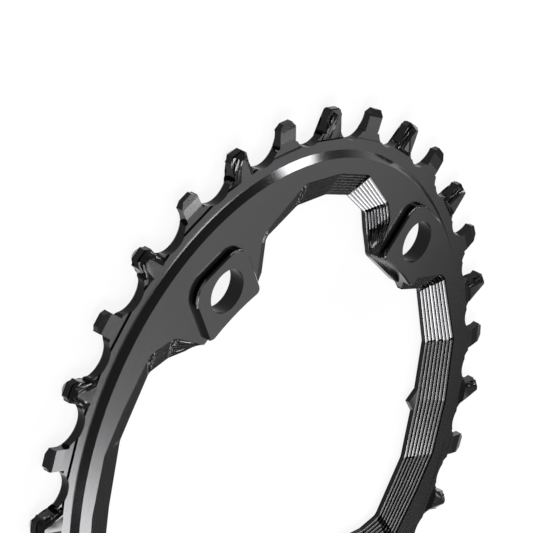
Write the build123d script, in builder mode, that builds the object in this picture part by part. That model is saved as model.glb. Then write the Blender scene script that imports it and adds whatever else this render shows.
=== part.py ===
from build123d import *
from math import atan2, cos, degrees, hypot, pi, radians, sin, tan
import os

# Oval narrow-wide bicycle chainring, machined in one piece. It lies flat with its bolt pads up.
# Millimetres. Z = 0 is the lowest point, under the wide teeth. +Y runs between two of the four pads.

# Toothing
tooth_count = 32
chain_pitch = 12.7
ovality = 0.06
long_axis_angle = 112.6
first_seat_angle = 129.65
seat_radius = 4.3
seat_chamfer = 0.4
tooth_height = 2.2
tip_width = 2.3
shoulder_width = 3.8
shoulder_height = 1.3

# Heights, from the lowest point up
back_lobe_rise = 0.8
plate_thickness = 1.9
rim_rise = 0.3
face_rise = 1.2
pad_rise = 1.2
front_lobe_rise = 1.0

# Relief of the tooth faces, measured outward from the pitch curve
relief_start = -1.3
relief_bend = 0.8
relief_depth = 0.15
tip_relief_depth = 0.45

# Lobes of the wide teeth: X across the tooth, Y outward from the pitch curve
lobe_foot = [(3.3, -3.6), (2.3, -0.3), (1.3, 2.2)]
lobe_top = [(1.3, -2.9), (0.75, -0.25), (0.3, 1.4)]
lobe_sink = 0.3
lobe_steps = 3

# Rim and bevel, measured inward from the pitch curve
rim_inset = 3.6
bevel_inset = 6.0
bevel_width = 1.15

# Bolting to a four-arm spider
bolt_circle_dia = 96.0
arm_angle = 70.0
bolt_hole_dia = 8.5
counterbore_dia = 13.2
counterbore_depth = 1.4
pad_width = 14.3
pad_nose = 6.4
pad_corner_radius = 4.1
pad_chamfer = 0.3
register_dia = 82.8
register_corner_radius = 1.2
ledge_reach = 7.65
ledge_span = 16.6
ledge_height = 1.4
ledge_corner_radius = 3.0

# Windows between the pads, each with a foot outline and a wider outline at the main face
top_window_foot = [(-13.4, 33), (-14.7, 46.0), (-7.4, 51.1), (0.4, 52.0), (7.4, 50.8),
                   (13.8, 46.4), (15.5, 42.2), (20.4, 32)]
top_window_face = [(-17.7, 33), (-18.9, 48.0), (-9.4, 56.5), (0.5, 57.0), (9.4, 55.4),
                   (17.4, 48.4), (19.1, 44.8), (16.0, 32)]
side_window_foot = [(24, 28.4), (37.3, 26.4), (43.4, 13.6), (44.7, 0.5), (45.0, -12.5),
                    (43.4, -16.9), (40.5, -24.7), (36.0, -26.6), (24, -27.8)]
side_window_face = [(24, 31.0), (41.1, 29.8), (49.6, 14.0), (51.7, 0), (51.4, -12),
                    (48.6, -20.0), (44.0, -29.9), (38.0, -31.9), (24, -26.8)]
foot_corner_radius = 1.5
face_corner_radius = 3.0
corner_share = 0.45

# Terraces milled between the foot and the face of each window
terrace_count = 8
lowest_wall = 1.0
tread_share = 0.35

# Alignment nub on the foot of the right-hand window
nub_half_width = 2.6
nub_length = 2.4
nub_offset = 0.6

plate_back = back_lobe_rise
plate_front = plate_back + plate_thickness
rim_front = plate_front + rim_rise
face_front = rim_front + face_rise
pad_front = face_front + pad_rise
clearance = 1.0
on_base = (Align.CENTER, Align.CENTER, Align.MIN)

bolt_x = bolt_circle_dia / 2 * sin(radians(arm_angle / 2))
bolt_y = bolt_circle_dia / 2 * cos(radians(arm_angle / 2))
pad_frames = []
for x, y in [(bolt_x, bolt_y), (-bolt_x, bolt_y), (-bolt_x, -bolt_y), (bolt_x, -bolt_y)]:
    pad_frames.append(Location((x, y, 0), (0, 0, degrees(atan2(y, x)))))


def on_pitch(mean, angle, shift=0):
    """Point of the oval pitch curve at a polar angle in degrees, shifted outward along the normal."""
    r = mean * (1 + ovality * cos(2 * radians(angle - long_axis_angle)))
    slope = -2 * mean * ovality * sin(2 * radians(angle - long_axis_angle))
    normal = radians(angle) - atan2(slope, r)
    return (r * cos(radians(angle)) + shift * cos(normal), r * sin(radians(angle)) + shift * sin(normal))


def next_angle(mean, angle):
    """Angle of the roller seat one chain pitch further clockwise."""
    x, y = on_pitch(mean, angle)
    near, far = angle, angle - 2 * 360 / tooth_count
    while near - far > 1e-9:
        middle = (near + far) / 2
        px, py = on_pitch(mean, middle)
        if hypot(px - x, py - y) < chain_pitch:
            near = middle
        else:
            far = middle
    return near


def seat_angles(mean):
    """Angles of the seats, ending with the one that closes the round."""
    angles = [first_seat_angle]
    for _ in range(tooth_count):
        angles.append(next_angle(mean, angles[-1]))
    return angles


# The mean pitch radius at which the chain closes exactly round the oval
mean_radius = chain_pitch / (2 * sin(pi / tooth_count))
for _ in range(6):
    turned = seat_angles(mean_radius)[0] - seat_angles(mean_radius)[-1]
    mean_radius *= turned / 360

angles = seat_angles(mean_radius)[:tooth_count]
seats = [on_pitch(mean_radius, angle) for angle in angles]

# Middles of the teeth, with X running clockwise along the rim and Y pointing outward
narrow_frames = []
wide_frames = []
for i, (x, y) in enumerate(seats):
    x1, y1 = seats[(i + 1) % tooth_count]
    turn = degrees(atan2(y1 - y, x1 - x))
    frame = Location(((x + x1) / 2, (y + y1) / 2, 0), (0, 0, turn))
    (wide_frames if i % 2 else narrow_frames).append(frame)


def oval(shift, height):
    """Face inside the pitch curve shifted outward along its normal."""
    with BuildSketch(Plane.XY.offset(height)) as sketch:
        with BuildLine():
            Spline(*[on_pitch(mean_radius, angle, shift) for angle in angles], periodic=True)
        make_face()
    return sketch.sketch


def corner_radii(corners, radius):
    """Rounding of each corner, as far as its two sides allow."""
    radii = []
    for i, (x, y) in enumerate(corners):
        before = Vector(x, y) - Vector(*corners[i - 1])
        after = Vector(*corners[(i + 1) % len(corners)]) - Vector(x, y)
        turn = radians(before.get_angle(after))
        radii.append(min(radius, corner_share * min(before.length, after.length) / tan(turn / 2)))
    return radii


def window(foot, face, share, height):
    """Window outline at a share of the way from its foot to the main face."""
    corners = []
    for (x0, y0), (x1, y1) in zip(foot, face):
        corners.append((x0 + share * (x1 - x0), y0 + share * (y1 - y0)))
    radius = foot_corner_radius + share * (face_corner_radius - foot_corner_radius)
    with BuildSketch(Plane.XY.offset(height)) as sketch:
        with BuildLine():
            FilletPolyline(*corners, radius=corner_radii(corners, radius), close=True)
        make_face()
    return sketch.sketch


def window_cutter(foot, face):
    """Stepped solid that mills one window: sloped treads between upright risers."""
    step = (face_front - plate_back - lowest_wall) / terrace_count
    with BuildPart() as cutter:
        sections = [window(foot, face, 0, plate_back - clearance)]
        for i in range(terrace_count):
            level = plate_back + lowest_wall + i * step
            sections.append(window(foot, face, i / terrace_count, level))
            sections.append(window(foot, face, (i + 1) / terrace_count, level + tread_share * step))
        sections.append(window(foot, face, 1, face_front + clearance))
        loft(sections, ruled=True)
    return cutter.part


def lobe(foot_height, top_height):
    """Boss with stepped flanks that fills the outer links, from its foot to its flat top."""
    with BuildPart() as boss:
        sections = []
        for i in range(lobe_steps):
            for share, rise in [(i / lobe_steps, i + tread_share), ((i + 1) / lobe_steps, i + 1)]:
                rise = min(rise / lobe_steps, 1)
                right = []
                for (x0, y0), (x1, y1) in zip(lobe_foot, lobe_top):
                    right.append((x0 + share * (x1 - x0), y0 + rise * (y1 - y0)))
                left = [(-x, y) for x, y in reversed(right)]
                height = foot_height + rise * (top_height - foot_height)
                with BuildSketch(Plane.XY.offset(height)) as section:
                    Polygon(*right, *left, align=None)
                sections.append(section.sketch)
        loft(sections, ruled=True)
    return boss.part


# Outline of a tooth with half a roller seat on either side: X along the rim, Y outward
with BuildSketch() as tooth_outline:
    half_pitch = chain_pitch / 2
    with BuildLine():
        Polyline(
            (-half_pitch, 0),
            (-half_pitch, -seat_radius - clearance),
            (half_pitch, -seat_radius - clearance),
            (half_pitch, 0),
            (shoulder_width / 2, shoulder_height),
            (tip_width / 2, tooth_height),
            (-tip_width / 2, tooth_height),
            (-shoulder_width / 2, shoulder_height),
            close=True,
        )
    make_face()
    with Locations((-half_pitch, 0), (half_pitch, 0)):
        Circle(seat_radius, mode=Mode.SUBTRACT)
        Rectangle(2 * seat_radius, 2 * tooth_height, mode=Mode.SUBTRACT)

# Section of a tooth through the plate: X outward, Y up
with BuildSketch(Plane(origin=(-half_pitch, 0, 0), x_dir=(0, 1, 0), z_dir=(1, 0, 0))) as tooth_section:
    with BuildLine():
        Polyline(
            (-seat_radius - clearance, plate_back),
            (relief_start, plate_back),
            (relief_bend, plate_back + relief_depth),
            (tooth_height, plate_back + tip_relief_depth),
            (tooth_height, plate_front - tip_relief_depth),
            (relief_bend, plate_front - relief_depth),
            (relief_start, plate_front),
            (-seat_radius - clearance, plate_front),
            close=True,
        )
    make_face()

# Chamfer on the back of the roller seats on either side of a tooth
with BuildPart() as seat_cones:
    with Locations((-half_pitch, 0, plate_back), (half_pitch, 0, plate_back)):
        Cone(seat_radius + seat_chamfer, seat_radius, seat_chamfer, align=on_base)

# Narrow tooth, which runs between the inner links
with BuildPart() as narrow_tooth:
    extrude(tooth_outline.sketch, amount=pad_front)
    extrude(tooth_section.sketch, amount=chain_pitch, mode=Mode.INTERSECT)
    add(seat_cones.part, mode=Mode.SUBTRACT)

# Wide tooth, which fills the space between the outer links
with BuildPart() as wide_tooth:
    extrude(tooth_section.sketch, amount=chain_pitch)
    add(lobe(plate_front - lobe_sink, plate_front + front_lobe_rise))
    add(lobe(plate_back + lobe_sink, 0))
    extrude(tooth_outline.sketch, amount=pad_front, mode=Mode.INTERSECT)
    add(seat_cones.part, mode=Mode.SUBTRACT)

# Bolt pad with a chamfered top and a low ledge at its foot. X points outward from the ring's axis.
with BuildPart() as pad:
    with BuildSketch(Plane.XY.offset(plate_back)):
        with Locations((pad_nose, 0)):
            RectangleRounded(2 * pad_width, pad_width, pad_corner_radius, align=(Align.MAX, Align.CENTER))
        with Locations((-bolt_circle_dia / 2, 0)):
            Circle(register_dia / 2, mode=Mode.SUBTRACT)
        fillet(vertices().sort_by(Axis.X)[:2], radius=register_corner_radius)
    extrude(amount=pad_front - plate_back)
    chamfer(faces().sort_by(Axis.Z)[-1].edges(), length=pad_chamfer)
    with BuildSketch(Plane.XY.offset(plate_back)):
        RectangleRounded(2 * ledge_reach, ledge_span, ledge_corner_radius)
    extrude(amount=ledge_height)

half_turn = Location((0, 0, 0), (0, 0, 180))

# The whole ring
with BuildPart() as chainring:
    with BuildSketch(Plane.XY.offset(plate_back)):
        Polygon(*[on_pitch(mean_radius, angle, -rim_inset) for angle in angles], align=None)
        with Locations(*seats):
            Circle(seat_radius, mode=Mode.SUBTRACT)
    extrude(amount=rim_front - plate_back)
    with Locations(*[(x, y, plate_back) for x, y in seats]):
        Cone(seat_radius + seat_chamfer, seat_radius, seat_chamfer, align=on_base, mode=Mode.SUBTRACT)
    loft([oval(-bevel_inset, rim_front), oval(-bevel_inset - bevel_width, face_front)])
    Cylinder(register_dia / 2, 4 * pad_front, mode=Mode.SUBTRACT)
    with Locations(half_turn, Location()):
        add(window_cutter(top_window_foot, top_window_face), mode=Mode.SUBTRACT)
        add(window_cutter(side_window_foot, side_window_face), mode=Mode.SUBTRACT)
    with Locations(*pad_frames):
        add(pad.part)
    with Locations(*pad_frames):
        Cylinder(bolt_hole_dia / 2, 4 * pad_front, mode=Mode.SUBTRACT)
        Cylinder(counterbore_dia / 2, 2 * (plate_back + counterbore_depth), mode=Mode.SUBTRACT)
    with Locations(*narrow_frames):
        add(narrow_tooth.part)
    with Locations(*wide_frames):
        add(wide_tooth.part)
    with BuildSketch(Plane.XY.offset(plate_back)):
        with BuildLine():
            edge = max(side_window_foot[3][0], register_dia / 2)
            Polyline(
                (edge + clearance, nub_offset + nub_half_width),
                (edge, nub_offset + nub_half_width),
                (edge - nub_length, nub_offset),
                (edge, nub_offset - nub_half_width),
                (edge + clearance, nub_offset - nub_half_width),
                close=True,
            )
        make_face()
    extrude(amount=lowest_wall)
chainring.part.label = "chainring"

os.makedirs("parts", exist_ok=True)
export_step(chainring.part, "parts/chainring.step")
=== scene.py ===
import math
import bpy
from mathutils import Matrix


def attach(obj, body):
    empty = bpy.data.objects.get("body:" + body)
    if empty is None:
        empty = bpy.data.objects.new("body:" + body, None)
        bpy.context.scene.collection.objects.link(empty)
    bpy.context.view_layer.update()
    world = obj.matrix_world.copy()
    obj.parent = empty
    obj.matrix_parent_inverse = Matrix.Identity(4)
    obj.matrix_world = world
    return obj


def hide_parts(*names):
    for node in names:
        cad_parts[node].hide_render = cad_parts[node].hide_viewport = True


bl_info = {
    "name": "Oval Chainring",
    "version": (1, 0, 0),
    "blender": (4, 5, 0),
    "location": "View3D > Sidebar > Chainring",
    "description": "Finishes a milled, black anodised oval chainring and sets its studio",
    "category": "Object",
}

import bpy
from bpy.props import FloatProperty, FloatVectorProperty, IntProperty, PointerProperty
from mathutils import Euler, Vector

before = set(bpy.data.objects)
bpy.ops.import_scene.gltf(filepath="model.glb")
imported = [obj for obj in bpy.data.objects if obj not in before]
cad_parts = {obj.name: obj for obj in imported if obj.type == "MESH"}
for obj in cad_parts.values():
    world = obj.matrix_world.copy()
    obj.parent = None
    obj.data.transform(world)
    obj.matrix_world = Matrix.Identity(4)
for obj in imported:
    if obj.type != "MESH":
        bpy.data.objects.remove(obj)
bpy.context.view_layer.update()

RING = "chainring"

# Camera's film width in millimetres
SENSOR_WIDTH = 36

# Sockets of a colour mix
MIX_FACTOR, MIX_FIRST, MIX_SECOND, MIX_RESULT = 0, 6, 7, 2

# Softboxes round the ring: name, azimuth and elevation in degrees, width and height in metres, watts
SOFTBOXES = (
    ("key_box", -39, 38.5, 0.24, 0.34, 2.6),
    ("rim_box", 50, 23, 0.34, 0.36, 8.2),
    ("side_box", -12, 50, 0.28, 0.28, 3.7),
    ("top_box", -125, 55, 0.6, 0.6, 12.5),
    ("fill_box", -27, 44, 0.96, 0.66, 2.0),
    ("tooth_box", -92, 45, 0.7, 0.5, 3.3),
    ("over_box", 150, 82, 0.5, 0.6, 2.8),
)


class Socket:
    """Wraps a shader socket, so that shader maths is written as Python expressions."""

    def __init__(self, tree, out):
        self.tree = tree
        self.out = out

    def _maths(self, operation, first, second):
        return Nodes(self.tree).add("ShaderNodeMath", {"operation": operation}, {0: first, 1: second})

    def __add__(self, other):
        return self._maths("ADD", self, other)

    def __radd__(self, other):
        return self._maths("ADD", other, self)

    def __sub__(self, other):
        return self._maths("SUBTRACT", self, other)

    def __mul__(self, other):
        return self._maths("MULTIPLY", self, other)

    def __lt__(self, other):
        return self._maths("LESS_THAN", self, other)

    def __gt__(self, other):
        return self._maths("GREATER_THAN", self, other)


class Nodes:
    """Adds nodes to a tree: the type, then its settings, then the values or links of its sockets."""

    def __init__(self, tree):
        self.tree = tree

    def add(self, kind, settings=None, sockets=None, output=0):
        node = self.tree.nodes.new(kind)
        for name, value in (settings or {}).items():
            if name == "stops":
                self._set_ramp(node.color_ramp, value)
            else:
                setattr(node, name, value)
        for name, value in (sockets or {}).items():
            if isinstance(value, Socket):
                self.tree.links.new(value.out, node.inputs[name])
            else:
                node.inputs[name].default_value = value
        return Socket(self.tree, node.outputs[output]) if len(node.outputs) else None

    @staticmethod
    def _set_ramp(ramp, stops):
        while len(ramp.elements) < len(stops):
            ramp.elements.new(1)
        for element, (place, grey) in zip(ramp.elements, stops):
            element.position = place
            element.color = (grey, grey, grey, 1)


def new_material(name):
    """Empty node material with its tree."""
    material = bpy.data.materials.new(name)
    material.use_nodes = True
    material.node_tree.nodes.clear()
    return material, Nodes(material.node_tree)


def deselect_all():
    bpy.ops.object.select_all(action="DESELECT")


class AnodisingSettings(bpy.types.PropertyGroup):
    """Colour and gloss of the black anodised aluminium."""

    colour: FloatVectorProperty(
        name="Colour", description="Colour of the anodised layer", subtype="COLOR", size=3,
        default=(0.06, 0.06, 0.062), min=0, max=1)
    tone_spread: FloatProperty(
        name="Tone Spread", description="How far the colour strays from patch to patch",
        default=0.1, min=0, max=1)
    # Painted shade: the upright walls are coloured near-black to stand in for the shade they fall in.
    painted_wall_shade_colour: FloatVectorProperty(
        name="Flank Colour", description="Colour of the upright walls, which the layer leaves deeper black",
        subtype="COLOR", size=3, default=(0.012, 0.012, 0.013), min=0, max=1)
    wall_shade_full: FloatProperty(
        name="Wall Full", description="Rise of a face's normal below which it has the walls' black",
        default=0.08, min=0, max=1)
    wall_shade_end: FloatProperty(
        name="Wall End", description="Rise of a face's normal above which it has none of the walls' black",
        default=0.3, min=0, max=1)
    # Painted highlight: the treads' lower edges get a lighter colour that stands in for the light they
    # catch.
    painted_crest_highlight_colour: FloatVectorProperty(
        name="Crest Colour", description="Colour of the terraces' edges, where the layer is worn thin",
        subtype="COLOR", size=3, default=(0.2, 0.2, 0.205), min=0, max=1)
    roughness: FloatProperty(
        name="Roughness", description="Roughness of the milled faces", default=0.15, min=0, max=1)
    unevenness: FloatProperty(
        name="Unevenness", description="How far the roughness strays over patches and grains",
        default=0.05, min=0, max=1)
    metallic: FloatProperty(
        name="Metallic", description="How much the metal under the layer shows", default=0.85, min=0, max=1)
    grain: FloatProperty(
        name="Grain", description="Distance between the blasted grains", default=0.0004, unit="LENGTH")
    grain_height: FloatProperty(
        name="Grain Height", description="Height of the blasted grains", default=0.00005, unit="LENGTH")
    grain_strength: FloatProperty(
        name="Grain Strength", description="How much of the grains shows", default=0.02, min=0, max=1)
    patches: FloatProperty(
        name="Patches", description="Patches of tone in one metre", default=40.0, min=0)


class EdgeSettings(bpy.types.PropertyGroup):
    """Tumbled edges of the ring."""

    width: FloatProperty(
        name="Edge Width", description="Width of the broken edges", default=0.00008, unit="LENGTH")
    merge: FloatProperty(
        name="Merge", description="Points closer than this become one", default=1e-6, precision=7,
        unit="LENGTH")
    flat_angle: FloatProperty(
        name="Flat Angle", description="Facets that meet at less than this become one", subtype="ANGLE",
        default=math.radians(0.5))
    segments: IntProperty(
        name="Segments", description="Facets across a broken edge", default=2, min=1, max=4)
    sharp_angle: FloatProperty(
        name="Sharp Angle", description="Edges steeper than this are broken", subtype="ANGLE",
        default=math.radians(28))
    smooth_angle: FloatProperty(
        name="Smooth Angle", description="Facets that meet at less than this are shaded as one surface",
        subtype="ANGLE", default=math.radians(22))


class TerraceSettings(bpy.types.PropertyGroup):
    """Terraces of the windows: sloped treads between upright risers."""

    reach: FloatProperty(
        name="Reach", description="Radius within which the terraces lie", default=0.0575, unit="LENGTH")
    lowest: FloatProperty(
        name="Lowest", description="Height of the lowest tread's inner edge", default=0.0018, unit="LENGTH")
    step: FloatProperty(
        name="Step", description="Height from one tread to the next", default=0.0003, unit="LENGTH")
    steepest: FloatProperty(
        name="Steepest", description="Least rise of a tread's normal", default=0.75, min=0, max=1)
    flattest: FloatProperty(
        name="Flattest", description="Greatest rise of a tread's normal", default=0.998, min=0, max=1)
    # Painted shade: a dark band across the upper part of each tread, standing in for the shade in the
    # corner at the foot of the riser above.
    corner_shade_start: FloatProperty(
        name="Line Start", description="Share of the step at which the cutter's dark line begins",
        default=0.12, min=0, max=1)
    corner_shade_end: FloatProperty(
        name="Line End", description="Share of the step at which the cutter's dark line is full",
        default=0.26, min=0, max=1)
    # Painted highlight band along the lower edge of each tread.
    crest_highlight_full: FloatProperty(
        name="Crest Full", description="Share of the step up to which the inner edge of a tread is worn",
        default=0.03, min=0, max=1)
    painted_crest_highlight: FloatProperty(
        name="Crest", description="Share of the step at which the worn inner edge of a tread ends",
        default=0.11, min=0, max=1)
    tread_end: FloatProperty(
        name="Tread End", description="Share of the step below which treads lie, with risers only above",
        default=0.5, min=0, max=1)


class StudioSettings(bpy.types.PropertyGroup):
    """Floor, lamps, world and camera."""

    floor_size: FloatProperty(
        name="Floor Size", description="Width of the floor", default=6.0, unit="LENGTH")
    floor_colour: FloatVectorProperty(
        name="Floor Colour", description="Colour of the floor", subtype="COLOR", size=3,
        default=(0.9, 0.9, 0.9), min=0, max=1)
    floor_glow: FloatProperty(
        name="Floor Glow", description="Share of plain white that the camera sees in the floor",
        default=0.9, min=0, max=1)
    world_strength: FloatProperty(
        name="World Strength", description="Light from the surroundings", default=0.08, min=0)
    haze_end: FloatProperty(
        name="Haze End", description="Rise of a direction up to which the surroundings are white",
        default=0.08, min=0, max=1)
    dark_start: FloatProperty(
        name="Dark Start", description="Rise of a direction above which the surroundings are dark",
        default=0.22, min=0, max=1)
    lamp_distance: FloatProperty(
        name="Lamp Distance", description="Distance of the softboxes", default=1.5, unit="LENGTH")
    nearest: FloatProperty(
        name="Nearest", description="Nearest that the camera sees", default=0.01, unit="LENGTH")
    farthest: FloatProperty(
        name="Farthest", description="Farthest that the camera sees", default=20.0, unit="LENGTH")
    lens: FloatProperty(
        name="Lens", description="Focal length on a 36 mm sensor, in millimetres", default=195.16)
    camera_place: FloatVectorProperty(
        name="Camera Place", description="Where the camera stands", subtype="TRANSLATION", size=3,
        unit="LENGTH", default=(-0.40181, 0.22650, 0.29363))
    camera_turn: FloatVectorProperty(
        name="Camera Turn", description="Turn of the camera about X, Y and Z", subtype="EULER", size=3,
        default=(math.radians(-33.183), math.radians(-47.961), math.radians(15.751)))


def anodised_material(settings, terraces):
    """Black anodised aluminium: blasted grain, painted shade on the walls and across the terraces, painted
    highlights on the terraces' edges.
    """
    material, nodes = new_material("black_anodised")
    place = nodes.add("ShaderNodeTexCoord", output="Object")
    grain = nodes.add("ShaderNodeTexNoise", None, {
        "Vector": place, "Scale": 1 / settings.grain, "Detail": 2.0, "Roughness": 0.6})
    cloud = nodes.add("ShaderNodeTexNoise", None, {
        "Vector": place, "Scale": settings.patches, "Detail": 3.0, "Roughness": 0.5})
    roughness = (settings.roughness + (cloud - 0.5) * settings.unevenness
                 + (grain - 0.5) * settings.unevenness)
    face_tone = nodes.add("ShaderNodeMix", {"data_type": "RGBA"}, {
        MIX_FACTOR: cloud,
        MIX_FIRST: (*[(1 - settings.tone_spread) * c for c in settings.colour], 1),
        MIX_SECOND: (*[(1 + settings.tone_spread) * c for c in settings.colour], 1)}, output=MIX_RESULT)
    facing = nodes.add("ShaderNodeNewGeometry", output="True Normal")
    rise = nodes.add("ShaderNodeSeparateXYZ", None, {0: facing}, output="Z")
    # Painted shade mask on the upright walls: full where the normal barely rises, fading to none as it
    # rises more.
    painted_wall_shade = nodes.add("ShaderNodeMapRange", {"interpolation_type": "SMOOTHSTEP"}, {
        "Value": nodes.add("ShaderNodeMath", {"operation": "ABSOLUTE"}, {0: rise}),
        "From Min": settings.wall_shade_full, "From Max": settings.wall_shade_end, "To Min": 1.0, "To Max": 0.0})
    across, along, height = (
        nodes.add("ShaderNodeSeparateXYZ", None, {0: place}, output=axis) for axis in "XYZ")
    share = nodes.add("ShaderNodeMath", {"operation": "FRACT"}, {
        0: (height - terraces.lowest) * (1 / terraces.step)})
    # Painted shade band across each tread, next to the riser above.
    painted_corner_shade = nodes.add("ShaderNodeMapRange", {"interpolation_type": "SMOOTHSTEP"}, {
        "Value": share, "From Min": terraces.corner_shade_start, "From Max": terraces.corner_shade_end})
    # Painted highlight mask: full at the lower edge of each tread, fading out higher up.
    painted_crest_highlight = nodes.add("ShaderNodeMapRange", {"interpolation_type": "SMOOTHSTEP"}, {
        "Value": share, "From Min": terraces.crest_highlight_full, "From Max": terraces.painted_crest_highlight,
        "To Min": 1.0, "To Max": 0.0})
    is_inside = across * across + along * along < terraces.reach ** 2
    is_sloped = (rise > terraces.steepest) * (rise < terraces.flattest)
    is_tread = is_inside * (share < terraces.tread_end) * is_sloped
    # Painted shade: the upright walls and the band across each tread take the dark colour.
    painted_shade = nodes.add("ShaderNodeMath", {"operation": "MAXIMUM"}, {0: painted_wall_shade, 1: painted_corner_shade * is_tread})
    tone = nodes.add("ShaderNodeMix", {"data_type": "RGBA"}, {
        MIX_FACTOR: painted_shade,
        MIX_FIRST: face_tone,
        MIX_SECOND: (*settings.painted_wall_shade_colour, 1)}, output=MIX_RESULT)
    # Painted highlight on the treads' edges.
    tone = nodes.add("ShaderNodeMix", {"data_type": "RGBA"}, {
        MIX_FACTOR: painted_crest_highlight * is_tread,
        MIX_FIRST: tone,
        MIX_SECOND: (*settings.painted_crest_highlight_colour, 1)}, output=MIX_RESULT)
    bump = nodes.add("ShaderNodeBump", None, {
        "Strength": settings.grain_strength, "Distance": settings.grain_height, "Height": grain})
    shader = nodes.add("ShaderNodeBsdfPrincipled", None, {
        "Base Color": tone, "Metallic": settings.metallic, "Roughness": roughness, "Normal": bump})
    nodes.add("ShaderNodeOutputMaterial", None, {"Surface": shader})
    return material


class CHAINRING_OT_ring(bpy.types.Operator):
    """Make the finished ring from the milled solid, with its edges broken"""

    bl_idname = "chainring.ring"
    bl_label = "Finish Ring"

    def execute(self, context):
        scene = context.scene
        settings = scene.chainring_edges
        deselect_all()
        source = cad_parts[RING]
        source.select_set(True)
        context.view_layer.objects.active = source
        bpy.ops.object.duplicate(linked=False)
        ring = context.view_layer.objects.active
        ring.name = "ring"
        ring.data.name = "ring"
        bpy.ops.object.mode_set(mode="EDIT")
        bpy.ops.mesh.select_all(action="SELECT")
        bpy.ops.mesh.remove_doubles(threshold=settings.merge)
        bpy.ops.mesh.dissolve_limited(angle_limit=settings.flat_angle)
        bpy.ops.object.mode_set(mode="OBJECT")
        bpy.ops.object.shade_smooth_by_angle(angle=settings.smooth_angle)
        bevel = ring.modifiers.new("edges", "BEVEL")
        bevel.width = settings.width
        bevel.segments = settings.segments
        bevel.limit_method = "ANGLE"
        bevel.angle_limit = settings.sharp_angle
        weighted = ring.modifiers.new("normals", "WEIGHTED_NORMAL")
        weighted.keep_sharp = True
        bpy.ops.object.modifier_apply(modifier=bevel.name)
        bpy.ops.object.modifier_apply(modifier=weighted.name)
        ring.data.materials.clear()
        ring.data.materials.append(anodised_material(scene.chainring_anodising, scene.chainring_terraces))
        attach(ring, "root")
        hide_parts(RING)
        return {"FINISHED"}


def add_softbox(name, place, size, power):
    """Rectangular lamp at a place, facing the ring."""
    deselect_all()
    bpy.ops.object.light_add(type="AREA", location=place, rotation=place.to_track_quat("Z", "Y").to_euler())
    lamp = bpy.context.object
    lamp.name = name
    lamp.data.shape = "RECTANGLE"
    lamp.data.size, lamp.data.size_y = size
    lamp.data.energy = power


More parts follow.
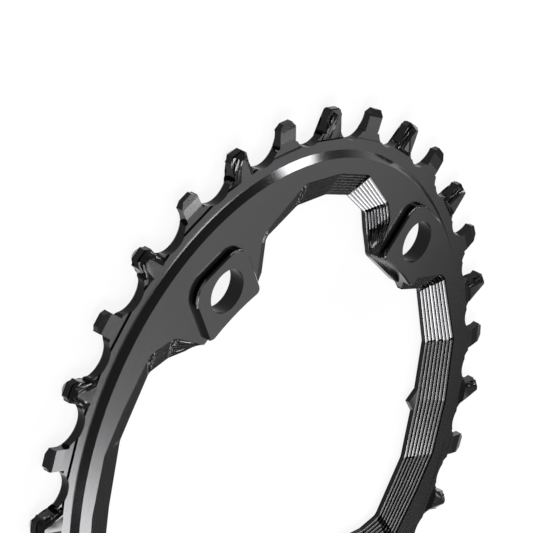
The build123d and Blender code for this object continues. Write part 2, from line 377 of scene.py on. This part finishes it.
class CHAINRING_OT_studio(bpy.types.Operator):
    """Set the floor, lamps, world and camera"""

    bl_idname = "chainring.studio"
    bl_label = "Set Studio"

    def execute(self, context):
        settings = context.scene.chainring_studio
        self.make_floor(settings)
        self.make_world(context, settings)
        for name, azimuth, elevation, width, height, power in SOFTBOXES:
            turn = Euler((0, math.radians(-elevation), math.radians(azimuth)))
            direction = turn.to_matrix() @ Vector((1, 0, 0))
            add_softbox(name, direction * settings.lamp_distance, (width, height), power)
        self.make_camera(context, settings)
        return {"FINISHED"}

    @staticmethod
    def make_floor(settings):
        deselect_all()
        bpy.ops.mesh.primitive_plane_add(size=settings.floor_size, location=(0, 0, 0))
        floor = bpy.context.object
        floor.name = "floor"
        material, nodes = new_material("floor")
        seen = nodes.add("ShaderNodeLightPath", output="Is Camera Ray")
        shown = nodes.add("ShaderNodeLightPath", output="Is Glossy Ray")
        through = nodes.add("ShaderNodeLightPath", output="Is Transmission Ray")
        matt = nodes.add("ShaderNodeBsdfDiffuse", None, {"Color": (*settings.floor_colour, 1)})
        glow = nodes.add("ShaderNodeEmission", None, {"Color": (1, 1, 1, 1), "Strength": 1.0})
        mixed = nodes.add("ShaderNodeMixShader", None, {
            0: (seen + shown + through) * settings.floor_glow, 1: matt, 2: glow})
        nodes.add("ShaderNodeOutputMaterial", None, {"Surface": mixed})
        floor.data.materials.append(material)

    @staticmethod
    def make_world(context, settings):
        world = bpy.data.worlds.new("studio")
        context.scene.world = world
        world.use_nodes = True
        world.node_tree.nodes.clear()
        nodes = Nodes(world.node_tree)
        direction = nodes.add("ShaderNodeTexCoord", output="Generated")
        height = nodes.add("ShaderNodeSeparateXYZ", None, {0: direction}, output="Z")
        stops = ((settings.haze_end, 1.0), (settings.dark_start, settings.world_strength))
        level = nodes.add("ShaderNodeValToRGB", {"stops": stops}, {0: height})
        glow = nodes.add("ShaderNodeBackground", None, {"Color": level, "Strength": 1.0})
        nodes.add("ShaderNodeOutputWorld", None, {"Surface": glow})
        context.scene.view_settings.view_transform = "Standard"

    @staticmethod
    def make_camera(context, settings):
        deselect_all()
        bpy.ops.object.camera_add(location=settings.camera_place, rotation=settings.camera_turn)
        camera = bpy.context.object
        camera.name = "camera"
        camera.data.sensor_width = SENSOR_WIDTH
        camera.data.lens = settings.lens
        camera.data.clip_start = settings.nearest
        camera.data.clip_end = settings.farthest
        context.scene.camera = camera


class CHAINRING_PT_panel(bpy.types.Panel):
    """Lists the steps that make the ring and its studio"""

    bl_idname = "CHAINRING_PT_panel"
    bl_label = "Chainring"
    bl_space_type = "VIEW_3D"
    bl_region_type = "UI"
    bl_category = "Chainring"

    def draw(self, context):
        for group in ("chainring_anodising", "chainring_edges", "chainring_terraces", "chainring_studio"):
            settings = getattr(context.scene, group)
            box = self.layout.box()
            for name in settings.__annotations__:
                box.prop(settings, name)
        self.layout.operator(CHAINRING_OT_ring.bl_idname)
        self.layout.operator(CHAINRING_OT_studio.bl_idname)


CLASSES = (
    AnodisingSettings,
    EdgeSettings,
    TerraceSettings,
    StudioSettings,
    CHAINRING_OT_ring,
    CHAINRING_OT_studio,
    CHAINRING_PT_panel,
)


def register():
    for cls in CLASSES:
        bpy.utils.register_class(cls)
    bpy.types.Scene.chainring_anodising = PointerProperty(type=AnodisingSettings)
    bpy.types.Scene.chainring_edges = PointerProperty(type=EdgeSettings)
    bpy.types.Scene.chainring_terraces = PointerProperty(type=TerraceSettings)
    bpy.types.Scene.chainring_studio = PointerProperty(type=StudioSettings)


def unregister():
    del bpy.types.Scene.chainring_studio
    del bpy.types.Scene.chainring_terraces
    del bpy.types.Scene.chainring_edges
    del bpy.types.Scene.chainring_anodising
    for cls in reversed(CLASSES):
        bpy.utils.unregister_class(cls)


def main():
    register()
    bpy.ops.chainring.ring()
    bpy.ops.chainring.studio()


if __name__ == "__main__":
    main()
